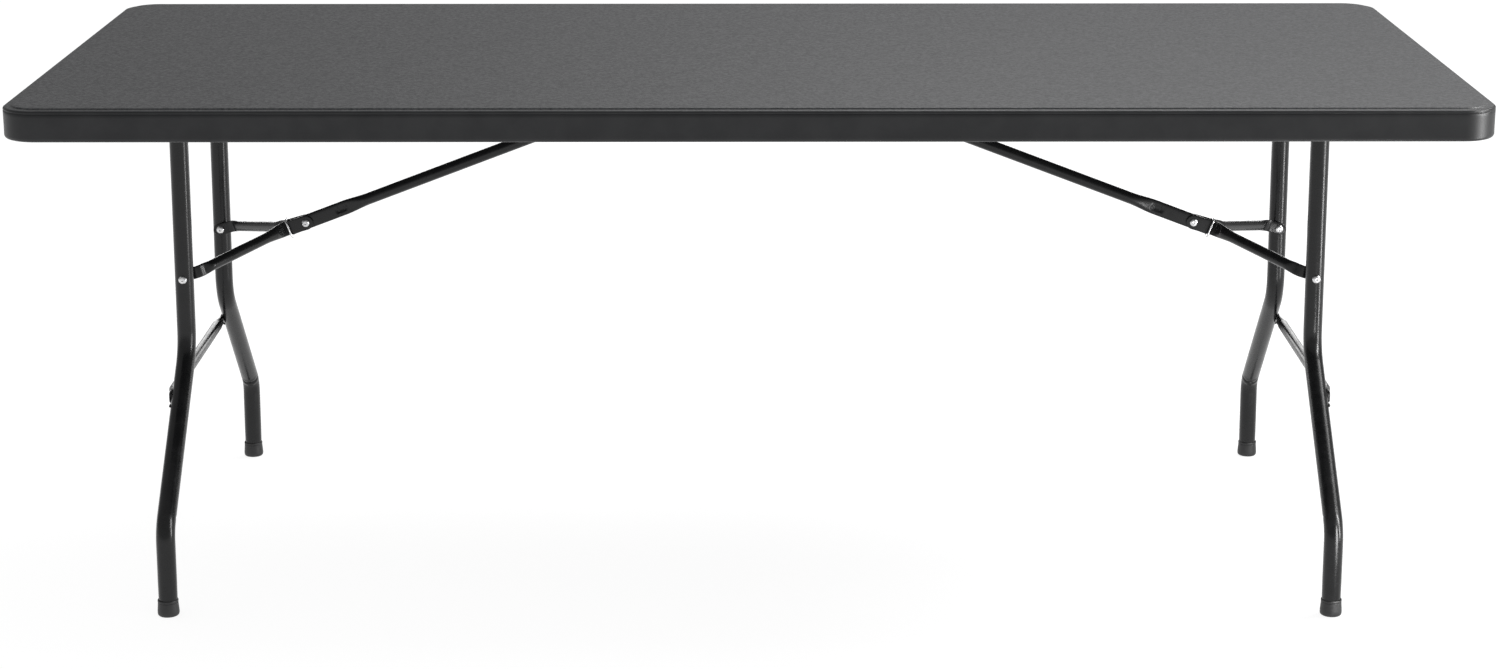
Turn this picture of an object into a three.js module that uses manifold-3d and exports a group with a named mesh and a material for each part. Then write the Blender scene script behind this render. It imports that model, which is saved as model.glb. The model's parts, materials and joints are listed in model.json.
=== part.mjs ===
// Folding banquet table. A hollow blow-moulded plastic top carries two steel leg frames, one near each
// end. Each frame swings on a tube between two side rails, and a hinged brace with a lock ring holds it
// open. Both frames fold flat beneath the top, towards its middle.
//
// Millimetres. The origin is on the floor under the middle of the top. +X runs along the top to the
// right-hand leg frame, +Y to the back and +Z up.

import * as THREE from "three";
import { mergeVertices } from "three/addons/utils/BufferGeometryUtils.js";
import Module from "manifold-3d";

const wasm = await Module();
wasm.setup();

// ---------------------------------------------------------------- driving dimensions

const GAP = 0.3; // between pieces that touch
const REACH = 60; // how far a cutting cylinder runs each way
const THIN_REACH = 10; // the same through one thin wall
const SIDES = { tube: 12, pivot: 16, foot: 18, rivet: 10, screw: 8 }; // of the round pieces

const TOP = {
  length: 2010,
  width: 908,
  height: 745, // floor to the upper face
  rimDepth: 45,
  rimWidth: 22,
  cornerRadius: 50,
  edgeRadius: 6,
  panel: 15.5, // thickness over both skins
  skin: 2.6, // wall of the hollow moulding
  ventRadius: 4,
  ventX: 500,
  ventY: 200,
};
const UNDERSIDE = TOP.height - TOP.panel;
const RIM_BOTTOM = TOP.height - TOP.rimDepth;

const PIVOT = { x: 818, z: 713, radius: 9, wall: 1.2, endY: 414 };

const RAIL = {
  length: 1800,
  innerY: 404,
  flange: 22,
  lip: 6,
  thickness: 1.6,
  bottom: 700.3,
  screwY: 417,
  screwPitch: 425,
  screwsPerSide: 2, // each side of the middle screw
};
const RAIL_TOP = UNDERSIDE - GAP;

const BUSH = { barrel: 10.3, flange: 12.5, flangeThickness: 2, barrelLength: 4 };

const SCREW = { head: 4.5, rim: 1, face: 3.2, headHeight: 2.4, shank: 2.1, hole: 2.4, length: 12 };

const LEG = {
  radius: 13.5,
  wall: 1.4,
  topAbovePivot: 5,
  upperY: 160, // half spacing of the two legs under the top
  lowerY: 375, // half spacing at the floor
  upperBendZ: 333,
  lowerBendZ: 128,
  bendRadii: [70, 45], // the upper bend's and the lower one's
  bendChords: 5,
  outwardAtFloor: 8, // the frame leans out by this much between its pivot and the floor
};
const LEAN = Math.atan(LEG.outwardAtFloor / PIVOT.z);
const alongLeg = (drop) => drop / Math.cos(LEAN);

const CROSSBAR = {
  radius: 8,
  wall: 1.2,
  halfLength: 221,
  z: 276,
  outward: 17.4, // of its middle line from the legs' own plane
  flatHalf: 1.9, // half thickness of its ends, which are pressed flat
  tallHalf: 8.8, // half height there
  flatLength: 25,
  taper: 18,
};

const FOOT = { radius: 15.5, height: 24, floor: 4, bore: 14.1, chamfer: 1.5 };

const RIVET = {
  head: 6,
  shoulder: 4.8, // the dome's radius part of the way up
  shoulderHeight: 2.2,
  crown: 2.1, // and at its top
  headHeight: 3.2,
  shank: 4,
  hole: 4.3,
};
const RIVET_DROP = 273; // from the leg frame's pivot down to its brace rivets

const BRACE = {
  pinX: 66, // pivot pins, each side of the middle of the top
  upperTube: 8.8, // radius of the upper arm
  lowerTube: 8, // and of the lower arms
  wall: 1.2,
  flatHalf: 3.5, // half thickness of the upper arm where it is pressed flat
  tallHalf: 11, // half height there
  plateHalf: 1.4, // half thickness of the lower arms' pressed ends
  legTallHalf: 9, // half height of those ends beside the legs
  slack: 0.4, // the two arms together are this much longer than a straight line
  tongue: 34, // the upper arm's end past the knuckle
  tail: 11, // the lower arms' ends past the knuckle
  flatLength: 62, // of the upper arm, from the knuckle towards its pin
  knuckleTaper: 40, // from there to the round tube
  pinFlat: 20, // of the upper arm, from its pin
  pinTaper: 18,
  parallel: 31, // the lower arms run side by side this far from the knuckle
  legEnd: 11, // the lower arms' ends past the leg rivets
  legFlat: 20, // straight stretch beside the leg
  spreadRadii: [14, 14],
  spreadChords: 3,
};

const RING = {
  wire: 3,
  edge: 0.9, // rounding of the wire's section
  innerHeight: 25,
  innerWidth: 21,
  corner: 4.5,
  station: 26, // past the knuckle
  lift: 0.8, // the open brace is just past straight, so the lower arms are a little higher here
};

const BRACKET = {
  length: 190,
  width: 54,
  corner: 8,
  thickness: 2,
  earInner: 4.3,
  earLength: 160,
  earCorner: 9,
  earDrop: 10, // below the pin centres
  screwX: 84,
  screwY: 18,
};

// ---------------------------------------------------------------- the brace linkage

// With the frame open, the brace spans from its pin to the leg rivet in a nearly straight line. With the
// frame folded, the lower arms lie back along the upper arm. The two spans give both arm lengths.
const legRivet = {
  x: PIVOT.x + RIVET_DROP * Math.sin(LEAN),
  z: PIVOT.z - RIVET_DROP * Math.cos(LEAN),
};
const openSpan = Math.hypot(legRivet.x - BRACE.pinX, PIVOT.z - legRivet.z);
const foldedSpan = PIVOT.x - RIVET_DROP - BRACE.pinX;
const upperLength = (openSpan + BRACE.slack + foldedSpan) / 2;
const lowerLength = (openSpan + BRACE.slack - foldedSpan) / 2;

// Law of cosines: the angle between the sides beside and base of a triangle, opposite the side far.
function angleBetween(beside, base, far) {
  return Math.acos((beside ** 2 + base ** 2 - far ** 2) / (2 * beside * base));
}

const spanSlope = Math.atan2(PIVOT.z - legRivet.z, legRivet.x - BRACE.pinX);
const upperSlope = spanSlope + angleBetween(upperLength, openSpan, lowerLength);
const lowerSlope = spanSlope - angleBetween(lowerLength, openSpan, upperLength);

// ---------------------------------------------------------------- materials

const finish = (color, roughness, metalness) =>
  new THREE.MeshStandardMaterial({ color, roughness, metalness });
const MATERIALS = {
  top: finish(0x55585b, 0.55, 0),
  steel: finish(0x2b2c2e, 0.38, 0.2),
  foot: finish(0x1c1d1e, 0.6, 0),
  zinc: finish(0xc9ccd0, 0.28, 1),
  bush: finish(0x222325, 0.5, 0),
};

// ---------------------------------------------------------------- solids

function solidOf(geometry) {
  const bare = geometry.clone();
  bare.deleteAttribute("normal");
  bare.deleteAttribute("uv");
  const merged = mergeVertices(bare, 1e-4);
  const mesh = new wasm.Mesh({
    numProp: 3,
    vertProperties: Float32Array.from(merged.attributes.position.array),
    triVerts: Uint32Array.from(merged.index.array),
  });
  return new wasm.Manifold(mesh);
}

function geometryOf(solid) {
  const { vertProperties, triVerts } = solid.getMesh();
  const geometry = new THREE.BufferGeometry();
  geometry.setAttribute("position", new THREE.BufferAttribute(vertProperties, 3));
  geometry.setIndex(new THREE.BufferAttribute(triVerts, 1));
  geometry.computeVertexNormals();
  return geometry;
}

// The first geometry with the others cut away.
function cut(base, ...tools) {
  return geometryOf(tools.reduce((solid, tool) => solid.subtract(solidOf(tool)), solidOf(base)));
}

function join(base, ...others) {
  return geometryOf(others.reduce((solid, other) => solid.add(solidOf(other)), solidOf(base)));
}

function common(first, second) {
  return geometryOf(solidOf(first).intersect(solidOf(second)));
}

// A rounded rectangle centred on (0, 0).
function roundedRectangle(length, width, radius) {
  const x = length / 2 - radius;
  const y = width / 2 - radius;
  const quarter = Math.PI / 2;
  const shape = new THREE.Shape();
  shape.absarc(x, y, radius, 0, quarter);
  shape.absarc(-x, y, radius, quarter, 2 * quarter);
  shape.absarc(-x, -y, radius, 2 * quarter, 3 * quarter);
  shape.absarc(x, -y, radius, 3 * quarter, 4 * quarter);
  return shape;
}

// An upright prism between two heights, with its upper and lower edges rounded by edge.
function slab(shape, low, high, edge = 0, curveSegments = 4) {
  const geometry = new THREE.ExtrudeGeometry(shape, {
    depth: high - low - 2 * edge,
    curveSegments,
    bevelEnabled: edge > 0,
    bevelThickness: edge,
    bevelSize: edge,
    bevelOffset: -edge,
    bevelSegments: 3,
  });
  return geometry.translate(0, 0, low + edge);
}

// A cylinder along Y through (x, z), for cutting a hole.
function holeAlongY(radius, x, z, halfLength = REACH, sides = SIDES.tube) {
  return new THREE.CylinderGeometry(radius, radius, 2 * halfLength, sides).translate(x, 0, z);
}

// A cylinder along Z through the thin wall at (x, y, z), for cutting a hole.
function holeAlongZ(radius, x, y, z, reach = THIN_REACH) {
  const geometry = new THREE.CylinderGeometry(radius, radius, 2 * reach, SIDES.screw);
  return geometry.rotateX(Math.PI / 2).translate(x, y, z);
}

// A body of revolution about Y from [radius, y] pairs that start and end on the axis, or close up.
function turned(profile, sides) {
  const points = profile.map(([radius, y]) => new THREE.Vector2(radius, y));
  return new THREE.LatheGeometry(points, sides);
}

// A straight open tube along Y, centred.
function straightTube(radius, wall, halfLength, sides) {
  const bore = radius - wall;
  const profile = [
    [bore, -halfLength],
    [radius, -halfLength],
    [radius, halfLength],
    [bore, halfLength],
    [bore, -halfLength],
  ];
  return turned(profile, sides);
}

// A path of straight runs joined by true arcs, with stations only where it turns. radii has one for
// each corner between the ends.
class BentPath extends THREE.Curve {
  constructor(corners, radii, chords) {
    super();
    const heading = (index) => corners[index + 1].clone().sub(corners[index]).normalize();
    this.stations = [{ point: corners[0], tangent: heading(0) }];
    for (let index = 1; index < corners.length - 1; index += 1) {
      this.addBend(corners[index], heading(index - 1), heading(index), radii[index - 1], chords);
    }
    this.stations.push({ point: corners.at(-1), tangent: heading(corners.length - 2) });
  }

  addBend(corner, before, after, radius, chords) {
    const turn = before.angleTo(after);
    const inward = after.clone().addScaledVector(before, -before.dot(after)).normalize();
    const start = corner.clone().addScaledVector(before, -radius * Math.tan(turn / 2));
    const centre = start.clone().addScaledVector(inward, radius);
    for (let chord = 0; chord <= chords; chord += 1) {
      const angle = (turn * chord) / chords;
      const tangent = before.clone().multiplyScalar(Math.cos(angle));
      tangent.addScaledVector(inward, Math.sin(angle));
      const point = centre.clone().addScaledVector(before, radius * Math.sin(angle));
      point.addScaledVector(inward, -radius * Math.cos(angle));
      this.stations.push({ point, tangent });
    }
  }

  station(fraction) {
    return this.stations[Math.round(fraction * (this.stations.length - 1))];
  }

  getPointAt(fraction, target = new THREE.Vector3()) {
    return target.copy(this.station(fraction).point);
  }

  getTangentAt(fraction, target = new THREE.Vector3()) {
    return target.copy(this.station(fraction).tangent);
  }
}

function circlePoints(radius, sides) {
  return Array.from({ length: sides }, (_, index) => {
    const angle = (2 * Math.PI * index) / sides;
    return new THREE.Vector2(radius * Math.cos(angle), radius * Math.sin(angle));
  });
}

// An open tube along a bent path.
function bentTube(path, radius, wall, sides) {
  const section = new THREE.Shape(circlePoints(radius, sides));
  section.holes.push(new THREE.Path(circlePoints(radius - wall, sides).reverse()));
  return new THREE.ExtrudeGeometry(section, {
    steps: path.stations.length - 1,
    extrudePath: path,
    bevelEnabled: false,
  });
}

// A bar swept level along stations of {point, tangent, half, tall, square}. half and tall are its half
// width and half height. square is 1 for an oval, and nearer 0 for flatter faces and tighter corners.
function pressedBar(stations, inset, sides) {
  const rows = stations.length - 1;
  const bar = new THREE.CylinderGeometry(1, 1, 1, sides, rows);
  const place = bar.attributes.position;
  const press = (value, square) => Math.sign(value) * Math.abs(value) ** square;
  for (let index = 0; index < place.count; index += 1) {
    const { point, tangent, half, tall, square } = stations[Math.round((place.getY(index) + 0.5) * rows)];
    const sideways = (half - inset) * press(place.getX(index), square);
    const upwards = (tall - inset) * press(-place.getZ(index), square);
    place.setXYZ(
      index,
      point.x - tangent.y * sideways,
      point.y + tangent.x * sideways,
      point.z + upwards,
    );
  }
  return bar;
}

// The section of a bar that is still round.
const round = (radius) => ({ half: radius, tall: radius, square: 1 });

// A pressed tube: its walls stay the same thickness where it is squeezed flat, so the ends show a slot.
function pressedTube(stations, wall, sides) {
  const inner = stations.map((station) => ({ ...station, point: station.point.clone() }));
  inner[0].point.addScaledVector(inner[0].tangent, -1);
  inner.at(-1).point.addScaledVector(inner.at(-1).tangent, 1);
  return cut(pressedBar(stations, 0, sides), pressedBar(inner, wall, sides));
}

// A bar outline with round ends, seen from the side, from x = start to x = end, and wide in Y.
function roundEnded(start, end, halfHeight, halfWidth) {
  const shape = new THREE.Shape();
  shape.absarc(end - halfHeight, 0, halfHeight, -Math.PI / 2, Math.PI / 2);
  shape.absarc(start + halfHeight, 0, halfHeight, Math.PI / 2, 1.5 * Math.PI);
  const depth = 2 * halfWidth;
  const bar = new THREE.ExtrudeGeometry(shape, { depth, curveSegments: 4, bevelEnabled: false });
  return bar.rotateX(Math.PI / 2).translate(0, halfWidth, 0);
}

function named(name, material, geometry, x = 0, y = 0, z = 0) {
  const mesh = new THREE.Mesh(geometry, material);
  mesh.name = name;
  mesh.position.set(x, y, z);
  return mesh;
}

// ---------------------------------------------------------------- the top

const railScrewXs = Array.from(
  { length: 2 * RAIL.screwsPerSide + 1 },
  (_, index) => (index - RAIL.screwsPerSide) * RAIL.screwPitch,
);
const bracketScrews = [-1, 1].flatMap((x) => [-1, 1].map((y) => [x * BRACKET.screwX, y * BRACKET.screwY]));
const railScrews = [-1, 1].flatMap((side) => railScrewXs.map((x) => [x, side * RAIL.screwY]));

// A thin-walled moulding: a rim of closed box section around a hollow panel.
function tableTop() {
  const inset = (amount) =>
    roundedRectangle(TOP.length - 2 * amount, TOP.width - 2 * amount, TOP.cornerRadius - amount);
  const outside = slab(inset(0), RIM_BOTTOM, TOP.height, TOP.edgeRadius);
  const tray = slab(inset(TOP.rimWidth), RIM_BOTTOM - REACH, UNDERSIDE);
  const hollow = slab(inset(TOP.skin), RIM_BOTTOM + TOP.skin, TOP.height - TOP.skin);
  const trayWall = slab(inset(TOP.rimWidth - TOP.skin), RIM_BOTTOM - REACH, UNDERSIDE + TOP.skin);
  const vents = [-1, 1].map((side) =>
    holeAlongZ(TOP.ventRadius, side * TOP.ventX, TOP.ventY, UNDERSIDE),
  );
  const holes = [...railScrews, ...bracketScrews].map(([x, y]) => holeAlongZ(SCREW.hole, x, y, UNDERSIDE));
  return cut(outside, tray, cut(hollow, trayWall), ...vents, ...holes);
}

// A rolled J section: a web that carries the leg pivots, a flange under the panel and a stiffening lip.
function sideRail(side) {
  const { thickness, flange, lip, bottom } = RAIL;
  const section = new THREE.Shape([
    new THREE.Vector2(0, bottom),
    new THREE.Vector2(lip, bottom),
    new THREE.Vector2(lip, bottom + thickness),
    new THREE.Vector2(thickness, bottom + thickness),
    new THREE.Vector2(thickness, RAIL_TOP - thickness),
    new THREE.Vector2(flange, RAIL_TOP - thickness),
    new THREE.Vector2(flange, RAIL_TOP),
    new THREE.Vector2(0, RAIL_TOP),
  ]);
  const rail = new THREE.ExtrudeGeometry(section, { depth: RAIL.length, bevelEnabled: false });
  rail.translate(RAIL.innerY, 0, -RAIL.length / 2);
  rail.applyMatrix4(
    new THREE.Matrix4().makeBasis(
      new THREE.Vector3(0, 1, 0),
      new THREE.Vector3(0, 0, 1),
      new THREE.Vector3(1, 0, 0),
    ),
  );
  const pivotHoles = [-1, 1].map((end) => {
    const hole = holeAlongY(BUSH.barrel + GAP, end * PIVOT.x, PIVOT.z, THIN_REACH, SIDES.pivot);
    return hole.translate(0, RAIL.innerY, 0);
  });
  const screwHoles = railScrewXs.map((x) => holeAlongZ(SCREW.hole, x, RAIL.screwY, RAIL_TOP));
  const finished = cut(rail, ...pivotHoles, ...screwHoles);
  return side > 0 ? finished : finished.rotateZ(Math.PI);
}

// A flanged bush, its flange against the rail's inner face and its barrel through the web.
function pivotBush() {
  const bore = PIVOT.radius + GAP;
  const profile = [
    [bore, -BUSH.flangeThickness - GAP],
    [BUSH.flange, -BUSH.flangeThickness - GAP],
    [BUSH.flange, -GAP],
    [BUSH.barrel, -GAP],
    [BUSH.barrel, BUSH.barrelLength],
    [bore, BUSH.barrelLength],
    [bore, -BUSH.flangeThickness - GAP],
  ];
  return turned(profile, SIDES.pivot);
}

// A pan-head screw driven upwards: its head hangs from the point it is placed at.
function screw() {
  const { head, rim, face, headHeight, shank, length } = SCREW;
  const profile = [
    [0, -headHeight],
    [face, -headHeight],
    [head, -rim],
    [head, -GAP],
    [shank, -GAP],
    [shank, length],
    [0, length],
  ];
  return turned(profile, SIDES.screw).rotateX(Math.PI / 2);
}

// A folded channel: a plate under the panel with two ears that hold the brace pins.
function centreBracket() {
  const { length, width, corner, thickness, earInner, earLength, earCorner, earDrop } = BRACKET;
  const plate = slab(roundedRectangle(length, width, corner), RAIL_TOP - thickness, RAIL_TOP);
  const earTop = RAIL_TOP - thickness / 2;
  const earBottom = PIVOT.z - earDrop;
  const ears = [-1, 1].map((side) => {
    const outline = roundedRectangle(earLength, 2 * (earTop - earBottom), earCorner);
    const depth = thickness;
    const ear = new THREE.ExtrudeGeometry(outline, { depth, curveSegments: 2, bevelEnabled: false });
    ear.rotateX(Math.PI / 2).translate(0, thickness / 2, earTop);
    return ear.translate(0, side * (earInner + thickness / 2), 0);
  });
  const above = new THREE.BoxGeometry(2 * length, 2 * width, REACH).translate(0, 0, RAIL_TOP + REACH / 2);
  const pinHoles = [-1, 1].map((side) => holeAlongY(RIVET.hole, side * BRACE.pinX, PIVOT.z));
  const screwHoles = bracketScrews.map(([x, y]) => holeAlongZ(SCREW.hole, x, y, RAIL_TOP));
  return cut(join(plate, ...ears), above, ...pinHoles, ...screwHoles);
}

// A rivet along Y with a domed head at one or both ends, its shank from low to high.
function rivet(low, high, heads) {
  const { head, shoulder, shoulderHeight, crown, headHeight, shank } = RIVET;
  const dome = (end, outwards) => [
    [head, end],
    [shoulder, end + outwards * shoulderHeight],
    [crown, end + outwards * headHeight],
    [0, end + outwards * headHeight],
  ];
  const plain = (end) => [[0, end]];
  const lower = heads.low ? dome(low, -1).reverse() : plain(low);
  const upper = heads.high ? dome(high, 1) : plain(high);
  return turned([...lower, [shank, low], [shank, high], ...upper], SIDES.rivet);
}

function screws() {
  const seats = [
    ...railScrews.map(([x, y]) => [x, y, RAIL_TOP - RAIL.thickness]),
    ...bracketScrews.map(([x, y]) => [x, y, RAIL_TOP - BRACKET.thickness]),
  ];
  return seats.map(([x, y, z], index) => named(`top_screw_${index + 1}`, MATERIALS.zinc, screw(), x, y, z));
}

function topAssembly() {
  const group = new THREE.Group();
  group.add(named("table_top", MATERIALS.top, tableTop()));
  group.add(named("front_side_rail", MATERIALS.steel, sideRail(-1)));
  group.add(named("back_side_rail", MATERIALS.steel, sideRail(1)));
  group.add(named("centre_bracket", MATERIALS.steel, centreBracket()));
  group.add(...screws());
  return group;
}

// ---------------------------------------------------------------- a leg frame

// One leg of the wishbone: down from the pivot, out to the wide stance, then down to the floor.
// The frame's own origin is on its pivot axis.
function leg(side) {
  const corner = (y, z) => new THREE.Vector3(0, side * y, alongLeg(z - PIVOT.z));
  const tubeEnd = FOOT.floor + 2 * GAP;
  const corners = [
    new THREE.Vector3(0, side * LEG.upperY, LEG.topAbovePivot),
    corner(LEG.upperY, LEG.upperBendZ),
    corner(LEG.lowerY, LEG.lowerBendZ),
    corner(LEG.lowerY, tubeEnd),
  ];
  const path = new BentPath(corners, LEG.bendRadii, LEG.bendChords);
  const tube = bentTube(path, LEG.radius, LEG.wall, SIDES.tube);
  const saddle = holeAlongY(PIVOT.radius + GAP, 0, 0, TOP.width / 2, SIDES.pivot);
  const rivetHole = holeAlongY(RIVET.hole, 0, -RIVET_DROP, TOP.width / 2);
  return cut(tube, saddle, rivetHole);
}

// A tube from leg to leg. Each end is pressed flat and laps the outer side of a leg.
function crossbar() {
  const { radius, wall, halfLength, outward, flatHalf, tallHalf, flatLength, taper } = CROSSBAR;
  const flat = { half: flatHalf, tall: tallHalf, square: 0.5 };
  const tangent = new THREE.Vector3(0, 1, 0);
  const at = (y, x, section) => ({ point: new THREE.Vector3(x, y, 0), tangent, ...section });
  const flatStart = halfLength - flatLength;
  const flatX = LEG.radius + GAP + flatHalf - outward;
  const stations = [
    at(-halfLength, flatX, flat),
    at(-flatStart, flatX, flat),
    at(taper - flatStart, 0, round(radius)),
    at(flatStart - taper, 0, round(radius)),
    at(flatStart, flatX, flat),
    at(halfLength, flatX, flat),
  ];
  return pressedTube(stations, wall, SIDES.tube);
}

// A moulded cup under the end of a leg. It stands plumb, so its sole is flat on the floor.
function footCap() {
  const { radius, height, floor, bore, chamfer } = FOOT;
  const profile = [
    [0, 0],
    [radius - chamfer, 0],
    [radius, chamfer],
    [radius, height - chamfer],
    [radius - chamfer / 2, height],
    [bore, height],
    [bore, floor],
    [0, floor],
  ];
  return turned(profile, SIDES.foot).rotateX(Math.PI / 2);
}

function legFrame(prefix, names) {
  const frame = new THREE.Group();
  frame.position.set(PIVOT.x, 0, PIVOT.z);
  frame.rotation.y = -LEAN;
  const pivotTube = straightTube(PIVOT.radius, PIVOT.wall, PIVOT.endY, SIDES.pivot);
  frame.add(named(`${prefix}_pivot_tube`, MATERIALS.steel, pivotTube));
  const barZ = alongLeg(CROSSBAR.z - PIVOT.z);
  frame.add(named(`${prefix}_leg_crossbar`, MATERIALS.steel, crossbar(), CROSSBAR.outward, 0, barZ));
  for (const side of [-1, 1]) {
    const name = `${prefix}_${names[side]}`;
    frame.add(named(`${name}_leg`, MATERIALS.steel, leg(side)));
    const cap = named(`${name}_foot_cap`, MATERIALS.foot, footCap());
    cap.position.set(0, side * LEG.lowerY, alongLeg(-PIVOT.z));
    cap.rotation.y = LEAN;
    frame.add(cap);
    const outer = LEG.upperY + LEG.radius + GAP;
    const inner = LEG.upperY - LEG.radius + GAP;
    const legPin = side > 0 ? rivet(inner, outer, { high: true }) : rivet(-outer, -inner, { low: true });
    frame.add(named(`${name}_leg_rivet`, MATERIALS.zinc, legPin, 0, 0, -RIVET_DROP));
  }
  return frame;
}

function frameBushes(prefix, names) {
  return [-1, 1].map((side) => {
    const bush = named(`${prefix}_${names[side]}_pivot_bush`, MATERIALS.bush, pivotBush());
    bush.position.set(PIVOT.x, side * RAIL.innerY, PIVOT.z);
    bush.rotation.z = side > 0 ? 0 : Math.PI;
    return bush;
  });
}

// ---------------------------------------------------------------- a brace

const FLAT = { half: BRACE.flatHalf, tall: BRACE.tallHalf, square: 0.5 };
const plate = (tall) => ({ half: BRACE.plateHalf, tall, square: 0.5 });

// The upper arm: a tube along X from its pin, pressed flat at the pin and for a good hand at the knuckle.
function upperArm() {
  const pinEnd = -BRACE.tallHalf;
  const knuckleFlat = upperLength - BRACE.flatLength;
  const tongueEnd = upperLength + BRACE.tongue;
  const tangent = new THREE.Vector3(1, 0, 0);
  const at = (x, section) => ({ point: new THREE.Vector3(x, 0, 0), tangent, ...section });
  const stations = [
    at(pinEnd, FLAT),
    at(BRACE.pinFlat, FLAT),
    at(BRACE.pinFlat + BRACE.pinTaper, round(BRACE.upperTube)),
    at(knuckleFlat - BRACE.knuckleTaper, round(BRACE.upperTube)),
    at(knuckleFlat, FLAT),
    at(tongueEnd, FLAT),
  ];
  const tube = pressedTube(stations, BRACE.wall, SIDES.tube);
  const outline = roundEnded(pinEnd, tongueEnd, BRACE.tallHalf + GAP, 2 * BRACE.upperTube);
  const holes = [0, upperLength].map((x) => holeAlongY(RIVET.hole, x, 0));
  return cut(common(tube, outline), ...holes);
}

// A lower arm, from the knuckle at the origin to its leg rivet: beside its twin, then out, then along
// the inner face of the leg.
function lowerArm(side) {
  const nearY = BRACE.flatHalf + GAP + BRACE.plateHalf;
  const farY = LEG.upperY - LEG.radius - GAP - BRACE.plateHalf;
  const end = lowerLength + BRACE.legEnd;
  const corner = (x, y) => new THREE.Vector3(x, side * y, 0);
  const corners = [
    corner(-BRACE.tail, nearY),
    corner(BRACE.parallel, nearY),
    corner(lowerLength - BRACE.legFlat, farY),
    corner(end, farY),
  ];
  const { stations } = new BentPath(corners, BRACE.spreadRadii, BRACE.spreadChords);
  const plateStations = BRACE.spreadChords + 1; // at each end: the end itself and its bend
  const section = (index) => {
    if (index < plateStations) {
      return plate(BRACE.tallHalf);
    }
    return index < stations.length - plateStations ? round(BRACE.lowerTube) : plate(BRACE.legTallHalf);
  };
  const shaped = stations.map((station, index) => ({ ...station, ...section(index) }));
  const tube = pressedTube(shaped, BRACE.wall, SIDES.tube);
  const outline = roundEnded(-BRACE.tail, end, BRACE.tallHalf + GAP, LEG.upperY);
  const holes = [0, lowerLength].map((x) => holeAlongY(RIVET.hole, x, 0, LEG.upperY));
  return cut(common(tube, outline), ...holes);
}

// A link of round wire about the arms, made as a rounded frame with its edges well rounded off.
function lockRing() {
  const { wire, edge, innerHeight, innerWidth, corner } = RING;
  const frame = roundedRectangle(innerHeight + 2 * wire, innerWidth + 2 * wire, corner + wire);
  const window = roundedRectangle(innerHeight, innerWidth, corner);
  frame.holes.push(new THREE.Path(window.getPoints(3).reverse()));
  const ring = new THREE.ExtrudeGeometry(frame, {
    depth: wire - 2 * edge,
    curveSegments: 3,
    bevelThickness: edge,
    bevelSize: edge,
    bevelOffset: -edge,
    bevelSegments: 1,
  });
  return ring.translate(0, 0, edge - wire / 2).rotateY(Math.PI / 2);
}

function lowerBrace(prefix, names) {
  const group = new THREE.Group();
  group.position.x = upperLength;
  group.rotation.y = lowerSlope - upperSlope;
  const plateInner = LEG.upperY - LEG.radius - GAP - 2 * BRACE.plateHalf;
  const low = plateInner - GAP;
  const high = LEG.upperY - LEG.radius - GAP;
  for (const side of [-1, 1]) {
    const name = `${prefix}_${names[side]}`;
    group.add(named(`${name}_lower_arm`, MATERIALS.steel, lowerArm(side)));
    const pin = side > 0 ? rivet(low, high, { low: true }) : rivet(-high, -low, { high: true });
    group.add(named(`${name}_arm_rivet`, MATERIALS.zinc, pin, lowerLength));
  }
  return group;
}

function brace(prefix, names) {
  const group = new THREE.Group();
  group.position.set(BRACE.pinX, 0, PIVOT.z);
  group.rotation.y = upperSlope;
  group.add(named(`${prefix}_upper_arm`, MATERIALS.steel, upperArm()));
  const knuckleHalf = BRACE.flatHalf + 2 * BRACE.plateHalf + 2 * GAP;
  const knuckle = rivet(-knuckleHalf, knuckleHalf, { low: true, high: true });
  group.add(named(`${prefix}_knuckle_rivet`, MATERIALS.zinc, knuckle, upperLength));
  const ring = named(`${prefix}_lock_ring`, MATERIALS.zinc, lockRing());
  ring.position.set(upperLength + RING.station, 0, RING.lift);
  group.add(ring);
  group.add(lowerBrace(prefix, names));
  return group;
}

function bracePin(prefix) {
  const half = BRACKET.earInner + BRACKET.thickness + GAP;
  const pin = rivet(-half, half, { low: true, high: true });
  return named(`${prefix}_brace_pin`, MATERIALS.zinc, pin, BRACE.pinX, 0, PIVOT.z);
}

// ---------------------------------------------------------------- the whole table

// One end's moving parts, made at the right-hand end. Turned half round, they make the left-hand end,
// where what was at the front is at the back.
function endAssembly(prefix, turn, names) {
  const group = new THREE.Group();
  group.rotation.z = turn;
  group.add(legFrame(prefix, names), ...frameBushes(prefix, names));
  group.add(brace(prefix, names), bracePin(prefix));
  return group;
}

const table = new THREE.Group();
table.add(topAssembly());
table.add(endAssembly("right", 0, { [-1]: "front", 1: "back" }));
table.add(endAssembly("left", Math.PI, { [-1]: "back", 1: "front" }));

export default table;
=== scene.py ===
import json
import math
import random

import bmesh
import bpy
from mathutils import Matrix, Vector

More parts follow.
